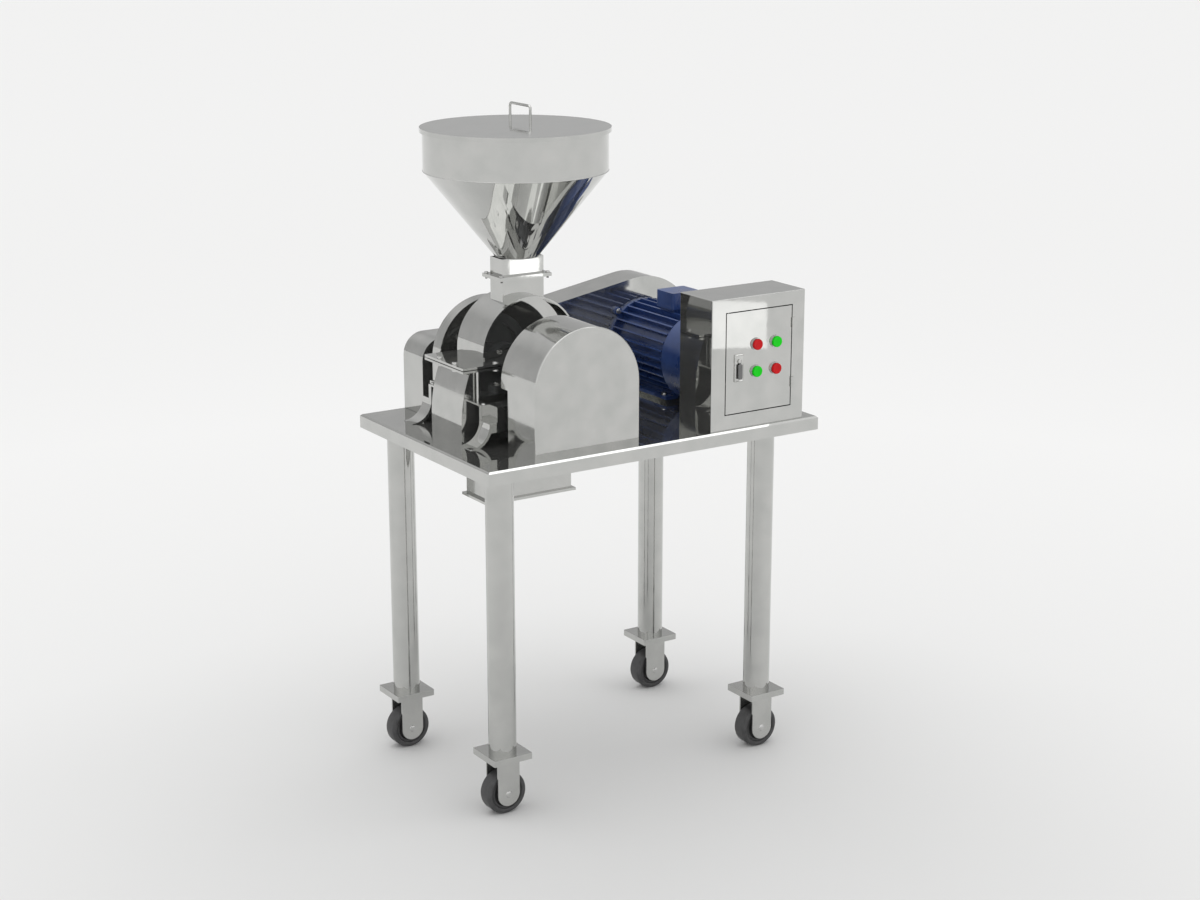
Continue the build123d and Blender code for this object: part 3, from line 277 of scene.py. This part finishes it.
def arc_points(cx, cy, radius, start, end, steps):
    """Points along an arc, from start to end in degrees."""
    return [
        (cx + radius * math.cos(math.radians(start + (end - start) * i / steps)),
         cy + radius * math.sin(math.radians(start + (end - start) * i / steps)))
        for i in range(steps + 1)]


def islands(node):
    """Lowest and highest corner of each separate solid in a CAD node."""
    weld_distance = 0.01 * MM
    bm = bmesh.new()
    bm.from_mesh(node.data)
    bmesh.ops.remove_doubles(bm, verts=bm.verts[:], dist=weld_distance)
    seen = set()
    boxes = []
    for first in bm.verts:
        if first.index in seen:
            continue
        stack = [first]
        seen.add(first.index)
        points = []
        while stack:
            vert = stack.pop()
            points.append(vert.co.copy())
            for edge in vert.link_edges:
                other = edge.other_vert(vert)
                if other.index not in seen:
                    seen.add(other.index)
                    stack.append(other)
        low = Vector([min(p[axis] for p in points) for axis in range(3)])
        high = Vector([max(p[axis] for p in points) for axis in range(3)])
        boxes.append((low, high))
    bm.free()
    return boxes


# ------------------------------------------------------------- caster wheels
WHEEL_STEPS = 96


def wheel(tag):
    """Round-shouldered tyre on a webbed hub, a little narrower than the hub's boss."""
    node_name = "caster_wheel_" + tag
    low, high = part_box(node_name)
    middle = (low + high) / 2
    radius = (high.z - low.z) / 2
    boss = (high.y - low.y) / 2
    half = boss - 2 * MM
    core = 37 * MM
    shoulder = 7 * MM
    chamfer = 2 * MM
    matrix = Matrix.Translation(middle) @ Matrix.Rotation(math.radians(90), 4, "X")
    tyre = [(core, -half + chamfer), (core + chamfer, -half)]
    tyre += arc_points(radius - shoulder, -half + shoulder, shoulder, -90, 0, 6)
    tyre += arc_points(radius - shoulder, half - shoulder, shoulder, 0, 90, 6)
    tyre += [(core + chamfer, half), (core, half - chamfer)]
    bm = bmesh.new()
    lathe(bm, tyre, matrix, WHEEL_STEPS)
    tyre_piece = piece("tyre_" + tag, mesh_from("tyre_" + tag, bm, 60), "tyre", "wheel_" + tag)
    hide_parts(node_name)
    bore = 5.1 * MM
    boss_radius = 11 * MM
    web = 7 * MM
    web_inner = 15.5 * MM
    web_outer = 28 * MM
    rim_inner = 32 * MM
    rim_chamfer = 1 * MM
    face = half - 2.5 * MM
    hub = [
        (bore, -boss), (boss_radius, -boss), (boss_radius + 1.5 * MM, -half),
        (web_inner - chamfer, -web - chamfer), (web_inner, -web), (web_outer, -web),
        (web_outer + 2.5 * MM, -web - chamfer), (rim_inner, -face),
        (core - rim_chamfer, -face), (core, -face + rim_chamfer)]
    hub += [(r, -h) for r, h in reversed(hub)]
    bm = bmesh.new()
    lathe(bm, hub, matrix, WHEEL_STEPS)
    piece("hub_" + tag, mesh_from("hub_" + tag, bm), "tyre", "wheel_" + tag)


for corner in ("front_left", "rear_left", "front_right", "rear_right"):
    wheel(corner)


# ----------------------------------------------------------------- fasteners
# Bolt proportions: the head's radius and height in shank radii, the rest in head radii.
# Round parts are drawn at INSIDE of their CAD size.
HEAD_RADIUS = 1.8
HEAD_HEIGHT = 1.2
HEX_RADIUS = 0.9
WASHER_THICK = 0.16
NUT_HEIGHT = 0.68
NUT_INSET = 0.12
INSIDE = 0.98


def hex_rings(bm, matrix, radius, height, crown):
    """Hexagon head or nut from z 0 to height, its top corners turned to a circle."""
    sides = 48
    half_flat = math.radians(30)
    top_circle = 0.97
    corner_drop = 0.7
    inner = radius * math.cos(half_flat)
    rings = []
    for z, top in ((0, False), (height - crown, False), (height, True)):
        ring = []
        for step in range(sides):
            turn = 2 * math.pi * step / sides
            within = (turn + half_flat) % (2 * half_flat) - half_flat
            flat = inner / math.cos(within)
            reach = inner * top_circle if top else flat
            drop = crown * (flat - inner) / (radius - inner) * corner_drop if z and not top else 0
            ring.append(bm.verts.new(matrix @ Vector(
                (reach * math.cos(turn), reach * math.sin(turn), z - drop))))
        rings.append(ring)
    for lower, upper in zip(rings, rings[1:]):
        for step in range(sides):
            after = (step + 1) % sides
            bm.faces.new((lower[step], lower[after], upper[after], upper[step]))
    bm.faces.new(list(reversed(rings[0])))
    bm.faces.new(rings[-1])


def shank(bm, matrix, radius, z0, z1):
    """Threaded shank from z0 to z1."""
    pitch = radius * 0.3
    root = radius * 0.9
    profile = [(NEAR_AXIS, z0), (radius * 0.8, z0)]
    count = max(2, int((z1 - z0) / pitch))
    for turn in range(count):
        z = z0 + (z1 - z0) * (turn + 0.25) / count
        profile.append((root, z))
        profile.append((radius, z + (z1 - z0) * 0.5 / count))
    profile += [(radius * 0.85, z1), (NEAR_AXIS, z1)]
    lathe(bm, profile, matrix, 24)


def washer(bm, matrix, radius, z0, thick):
    """Round washer with softened edges, its hole hidden under the head."""
    edge = thick * 0.3
    hole = radius * 0.5
    profile = [
        (hole, z0), (radius - edge, z0), (radius, z0 + edge), (radius, z0 + thick - edge),
        (radius - edge, z0 + thick), (hole, z0 + thick)]
    lathe(bm, profile, matrix, 32)


def redraw_bolts(node_name):
    """Each straight bolt of a CAD node, redrawn with washer, chamfered head, thread and nut."""
    through_length = 2.6
    least_nut_width = 12 * MM
    bm = bmesh.new()
    for low, high in islands(NODES[node_name]):
        span = high - low
        upright = span.z > span.y
        length = span.z if upright else span.y
        across = span.x / 2
        bolt_radius = across / HEAD_RADIUS
        head = bolt_radius * HEAD_HEIGHT
        washer_thick = across * WASHER_THICK
        axis = Matrix.Translation((low + high) / 2)
        if not upright:
            axis = axis @ Matrix.Rotation(math.radians(90), 4, "X")
        seat = axis @ Matrix.Translation((0, 0, length / 2 - head))
        washer(bm, seat, across * INSIDE, 0, washer_thick)
        on_washer = seat @ Matrix.Translation((0, 0, washer_thick))
        hex_rings(bm, on_washer, across * HEX_RADIUS, head - washer_thick, washer_thick)
        shank(bm, seat, bolt_radius * INSIDE, head - length, 0)
        if length > head * through_length and span.x > least_nut_width:
            nut = axis @ Matrix.Translation((0, 0, across * NUT_INSET - length / 2))
            hex_rings(bm, nut, across * HEX_RADIUS, across * NUT_HEIGHT, washer_thick)
    bolts = piece(node_name + "_detailed", mesh_from(node_name, bm, 25), SLOT_OF[node_name], "frame")
    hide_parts(node_name)


redraw_bolts("casing_bolts")
redraw_bolts("mounting_bolts")


def redraw_axles():
    """Wheel axles: pressed round head on the operator's side, washer, nut and thread behind."""
    head = 3 * MM
    neck = 2 * MM
    rod = 4.9 * MM
    washer_thick = 1.2 * MM
    nut_foot = 2 * MM
    nut_height = 4.8 * MM
    nut_crown = 0.8 * MM
    fork_face = 8 * MM
    bm = bmesh.new()
    for low, high in islands(NODES["caster_fasteners"]):
        middle = (low + high) / 2
        top = (high.y - low.y) / 2
        head_radius = (high.z - low.z) / 2
        dome = head_radius * 0.35
        base = Matrix.Translation(middle) @ Matrix.Rotation(math.radians(90), 4, "X")
        profile = [
            (NEAR_AXIS, top - head - neck), (rod, top - head - neck), (rod, top - head),
            (head_radius, top - head), (head_radius, top - dome),
            (head_radius * 0.86, top - dome * 0.45), (head_radius * 0.55, top - dome * 0.12),
            (NEAR_AXIS, top)]
        lathe(bm, profile, base, 40)
        shank(bm, base, rod, -top, top - head)
        washer(bm, base, head_radius * 1.15, fork_face - top - washer_thick, washer_thick)
        nut = base @ Matrix.Translation((0, 0, nut_foot - top))
        hex_rings(bm, nut, head_radius, nut_height, nut_crown)
    axles = piece("caster_axles_detailed", mesh_from("caster_axles", bm, 25), "fastener_steel", "frame")
    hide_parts("caster_fasteners")


redraw_axles()


# ----------------------------------------------------------- buttons and latch
def push_button(index):
    """Button cap with a rounded rim and a shallow dished face."""
    node_name = "push_button_%d" % index
    low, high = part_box(node_name)
    radius = (high.x - low.x) / 2
    centre = Vector(((low.x + high.x) / 2, low.y, (low.z + high.z) / 2))
    matrix = Matrix.Translation(centre) @ Matrix.Rotation(math.radians(90), 4, "X")
    depth = high.y - low.y
    rim = 1.6 * MM
    skirt = 2.2 * MM
    dish = radius - rim - 1.5 * MM
    middle = NEAR_AXIS / 2
    profile = [(middle, -depth), (radius, -depth), (radius, -skirt)]
    profile += arc_points(radius - rim, -rim, rim, 0, 90, 6)[1:]
    profile += [(dish, -0.2 * MM), (dish * 0.7, -0.7 * MM), (dish * 0.35, -1.0 * MM)]
    profile.append((middle, -1.1 * MM))
    bm = bmesh.new()
    lathe(bm, profile, matrix, 48)
    cap = piece(node_name + "_cap", mesh_from(node_name, bm, 60), SLOT_OF[node_name], "button_%d" % index)
    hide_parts(node_name)


for button_index in (1, 2, 3, 4):
    push_button(button_index)


def rounded_outline(half_x, half_z, radius):
    """Rounded rectangle in (x, z), anticlockwise."""
    corner_steps = 6
    points = []
    for sx, sz, start in ((1, 1, 0), (-1, 1, 90), (-1, -1, 180), (1, -1, 270)):
        cx = sx * (half_x - radius)
        cz = sz * (half_z - radius)
        points += arc_points(cx, cz, radius, start, start + 90, corner_steps)
    return points


def stacked_plate(bm, centre, levels):
    """Plate facing -Y: levels are (half_x, half_z, corner radius, distance out from the centre)."""
    rings = []
    for half_x, half_z, radius, out in levels:
        rings.append([
            bm.verts.new((centre.x + x, centre.y - out, centre.z + z))
            for x, z in rounded_outline(half_x, half_z, radius)])
    for lower, upper in zip(rings, rings[1:]):
        for index in range(len(lower)):
            other = (index + 1) % len(lower)
            bm.faces.new((lower[index], lower[other], upper[other], upper[index]))
    bm.faces.new(rings[0])
    bm.faces.new(rings[-1])


def latch_escutcheon():
    """Latch plate with a pressed border."""
    low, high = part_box("latch_plate")
    half_x = (high.x - low.x) / 2
    half_z = (high.z - low.z) / 2
    thick = high.y - low.y
    edge = 0.8 * MM
    border = 2.2 * MM
    bm = bmesh.new()
    stacked_plate(bm, Vector(((low.x + high.x) / 2, high.y, (low.z + high.z) / 2)), [
        (half_x, half_z, 2.4 * MM, 0), (half_x, half_z, 2.4 * MM, thick - edge),
        (half_x - edge, half_z - edge, 2 * MM, thick),
        (half_x - border, half_z - border, 1.5 * MM, thick),
        (half_x - border - edge, half_z - border - edge, 1.2 * MM, thick - edge)])
    plate = piece("latch_plate_pressed", mesh_from("latch_plate_pressed", bm, 30), "stainless", "door")
    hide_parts("latch_plate")


def latch_handle():
    """Key cylinder on the latch's pivot, with a dark pull bar and its neck below."""
    low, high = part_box("latch_lever")
    pivot = JOINTS["latch_turn"]["pos_m"]
    barrel = 5 * MM
    rim = 0.7 * MM
    face = pivot[1] - low.y
    back = pivot[1] - high.y
    matrix = Matrix.Translation(pivot) @ Matrix.Rotation(math.radians(90), 4, "X")
    bm = bmesh.new()
    profile = [
        (NEAR_AXIS, back), (barrel, back), (barrel, face - rim), (barrel - rim, face),
        (barrel - 2 * rim, face), (barrel - 2.4 * rim, face - rim), (NEAR_AXIS, face - rim)]
    lathe(bm, profile, matrix, 48)
    key = piece("latch_key_barrel", mesh_from("latch_key_barrel", bm, 40), "stainless", "latch")
    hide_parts("latch_lever")
    bar_top = pivot[2] - barrel - 2 * MM
    bar_half = (bar_top - low.z) / 2
    bar_half_width = 5.5 * MM
    bar_back = 2.6 * MM
    bar_thick = 3 * MM
    edge = 0.8 * MM
    bm = bmesh.new()
    stacked_plate(bm, Vector((pivot[0], pivot[1] - bar_back, (low.z + bar_top) / 2)), [
        (bar_half_width, bar_half, 1.6 * MM, 0),
        (bar_half_width, bar_half, 1.6 * MM, bar_thick - edge),
        (bar_half_width - edge, bar_half - edge, 1.2 * MM, bar_thick)])
    neck_half_width = 2.2 * MM
    neck_half = 2.5 * MM
    neck_back = 2.8 * MM
    neck_thick = 1.6 * MM
    stacked_plate(bm, Vector((pivot[0], pivot[1] - neck_back, pivot[2] - barrel - 0.5 * MM)), [
        (neck_half_width, neck_half, 0.6 * MM, 0), (neck_half_width, neck_half, 0.6 * MM, neck_thick)])
    bar = piece("latch_pull_bar", mesh_from("latch_pull_bar", bm, 30), "stainless", "latch")
    bar.data.materials[0] = DARK_STEEL


latch_escutcheon()
latch_handle()


# --------------------------------------------------------------- terminal box
def terminal_box_screws():
    """Four dished screws in the corners of the terminal box's lid, flush with its top."""
    low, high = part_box("terminal_box")
    depth = 1.2 * MM
    screw = 3 * MM
    inset = 2.4 * screw
    profile = [
        (NEAR_AXIS, -depth), (screw, -depth), (screw, -0.5 * depth), (screw * 0.8, -0.1 * depth),
        (screw * 0.25, 0), (screw * 0.2, -0.6 * depth), (NEAR_AXIS, -0.6 * depth)]
    bm = bmesh.new()
    for x in (low.x + inset, high.x - inset):
        for y in (low.y + inset, high.y - inset):
            lathe(bm, profile, Matrix.Translation((x, y, high.z)), 24)
    piece("terminal_box_screws", mesh_from("terminal_box_screws", bm, 40), "fastener_steel", "frame")


terminal_box_screws()


# ------------------------------------------------------------------ weld beads
def bead_ring(bm, centre, radius, thick):
    """Rippled weld bead round the Z axis."""
    ripple = 2.4 * MM
    ripple_depth = 0.12
    steps_per_ripple = 4
    steps = int(2 * math.pi * radius / ripple) * steps_per_ripple
    sides = 8
    rings = []
    for step in range(steps):
        turn = 2 * math.pi * step / steps
        size = thick * (1 + ripple_depth * math.sin(turn * steps / steps_per_ripple))
        ring = []
        for side in range(sides):
            angle = 2 * math.pi * side / sides
            reach = radius + size * math.cos(angle)
            ring.append(bm.verts.new((
                centre.x + reach * math.cos(turn), centre.y + reach * math.sin(turn),
                centre.z + size * math.sin(angle))))
        rings.append(ring)
    for step in range(steps):
        here, after = rings[step], rings[(step + 1) % steps]
        for side in range(sides):
            other = (side + 1) % sides
            bm.faces.new((here[side], after[side], after[other], here[other]))


def weld(name, centre, radius, thick):
    """Weld bead as a piece of the frame."""
    bm = bmesh.new()
    bead_ring(bm, centre, radius, thick)
    piece(name, mesh_from(name, bm, 80), "stainless", "frame")


def rolled_edge(name, centre, radius, thick, body):
    """Rolled edge round a sheet rim."""
    bm = bmesh.new()
    lathe(bm, arc_points(radius, 0, thick, 0, 337.5, 15), Matrix.Translation(centre), 160)
    piece(name, mesh_from(name, bm, 80), "stainless", body)


def hopper_seams():
    """Weld between the hopper's straight rim and cone, weld at its foot, and the lid's edge."""
    low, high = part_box("hopper")
    axis = (low + high) / 2
    rim_radius = (high.x - low.x) / 2
    straight = 90 * MM
    foot_radius = 50 * MM
    weld(
        "hopper_seam_weld", Vector((axis.x, axis.y, high.z - straight)), rim_radius - 0.3 * MM, 0.9 * MM)
    weld("hopper_foot_weld", Vector((axis.x, axis.y, low.z + 2 * MM)), foot_radius, 1.4 * MM)
    lid_low, lid_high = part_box("hopper_lid")
    lid_radius = (lid_high.x - lid_low.x) / 2
    roll = 1.8 * MM
    rolled_edge(
        "lid_rolled_edge", Vector((axis.x, axis.y, lid_low.z + roll)), lid_radius - roll, roll, "lid")


hopper_seams()


# ------------------------------------------------------------ floor and lights
def make_floor():
    """Wide pale floor with painted shade: its colour is a little greyer just in front of the machine."""
    # Painted shade: the floor's base colour darkens towards this point near the machine and pales with distance,
    # standing in for the falloff of light.
    painted_shade_centre = (-0.44, -0.67, 0)
    painted_shade_near_grey = (0.67, 0.67, 0.667, 1)
    painted_shade_far_grey = (0.9, 0.9, 0.896, 1)
    painted_shade_stops = ((0.7, 0.7), (1.8, 0.8), (4.0, 0.88))
    reach = 12.0
    bpy.ops.mesh.primitive_circle_add(vertices=96, radius=60, fill_type="NGON", location=(0, 0, 0))
    floor = bpy.context.object
    floor.name = "studio_floor"
    material, tree, shader = new_material("studio_floor")
    shader.inputs["Roughness"].default_value = 0.9
    shader.inputs["Specular IOR Level"].default_value = 0.1
    place = tree.nodes.new("ShaderNodeTexCoord")
    offset = tree.nodes.new("ShaderNodeVectorMath")
    offset.operation = "DISTANCE"
    offset.inputs[1].default_value = painted_shade_centre
    tree.links.new(place.outputs["Object"], offset.inputs[0])
    # Distance from the machine drives the painted shade ramp, from darker grey near it to pale grey far away.
    painted_shade_fac = spread(tree, offset.outputs["Value"], 0, 1, 0, reach)
    ramp = tree.nodes.new("ShaderNodeValToRGB")
    elements = ramp.color_ramp.elements
    elements[0].color = painted_shade_near_grey
    elements[1].color = painted_shade_far_grey
    for distance, grey in painted_shade_stops:
        elements.new(distance / reach).color = (grey, grey, grey * 0.995, 1)
    tree.links.new(painted_shade_fac, ramp.inputs["Fac"])
    tree.links.new(ramp.outputs["Color"], shader.inputs["Base Color"])
    floor.data.materials.append(material)


def make_world(view_yaw):
    """Studio room: bright ceiling, and walls that are paler on the viewer's side."""
    near_wall = 1.0
    far_wall = 0.5
    ceiling = 1.2
    wall_top = 0.42
    full_ceiling = 0.9
    world = bpy.data.worlds.new("studio_world")
    bpy.context.scene.world = world
    world.use_nodes = True
    tree = world.node_tree
    background = tree.nodes["Background"]
    place = tree.nodes.new("ShaderNodeTexCoord")
    split = tree.nodes.new("ShaderNodeSeparateXYZ")
    tree.links.new(place.outputs["Generated"], split.inputs["Vector"])
    height = spread(tree, split.outputs["Z"], 0, 1, wall_top, full_ceiling)
    away = tree.nodes.new("ShaderNodeVectorMath")
    away.operation = "DOT_PRODUCT"
    away.inputs[1].default_value = (math.cos(view_yaw), math.sin(view_yaw), 0)
    tree.links.new(place.outputs["Generated"], away.inputs[0])
    walls = spread(tree, away.outputs["Value"], near_wall, far_wall, -0.5, 0.5)
    level = tree.nodes.new("ShaderNodeMix")
    level.inputs["B"].default_value = ceiling
    tree.links.new(height, level.inputs["Factor"])
    tree.links.new(walls, level.inputs["A"])
    tree.links.new(level.outputs["Result"], background.inputs["Color"])


def make_camera(place, yaw, pitch, lens):
    """Camera turned yaw from +X towards +Y, and pitch up from level."""
    camera_data = bpy.data.cameras.new("studio_camera")
    camera_data.lens = lens
    camera_data.sensor_width = 36.0
    camera = bpy.data.objects.new("studio_camera", camera_data)
    camera.location = place
    camera.rotation_euler = (math.pi / 2 + pitch, 0, yaw - math.pi / 2)
    bpy.context.scene.collection.objects.link(camera)
    bpy.context.scene.camera = camera


def softbox(name, place, target, size, power):
    """Rectangular light of that size in metres and power in watts, out of the camera's sight."""
    light = bpy.data.lights.new(name, "AREA")
    light.shape = "RECTANGLE"
    light.size, light.size_y = size
    light.energy = power
    obj = bpy.data.objects.new(name, light)
    obj.location = place
    obj.rotation_euler = (Vector(target) - Vector(place)).to_track_quat("-Z", "Y").to_euler()
    obj.visible_camera = False
    bpy.context.scene.collection.objects.link(obj)


VIEW_YAW = math.radians(57.007)
make_camera((-2.682, -4.180, 2.116), VIEW_YAW, math.radians(-15.434), 65.71)
make_floor()
make_world(VIEW_YAW)
softbox("overhead_softbox", (-0.4, 0.4, 3.6), (0, 0, 0.8), (2.4, 2.4), 15)
softbox("high_right_softbox", (2.6, -1.3, 4.9), (0, 0, 0.9), (1.4, 1.4), 8)
# Two small cards low on the right, seen as bright patches in the polished faces.
softbox("low_reflector", (2.16, -3.0, 0.353), (0.24, -0.29, 1.08), (0.34, 0.175), 0.115)
softbox("small_reflector", (1.58, -2.93, 0.56), (-0.18, 0, 1.2), (0.11, 0.06), 0.035)
bpy.context.scene.view_settings.view_transform = "Standard"
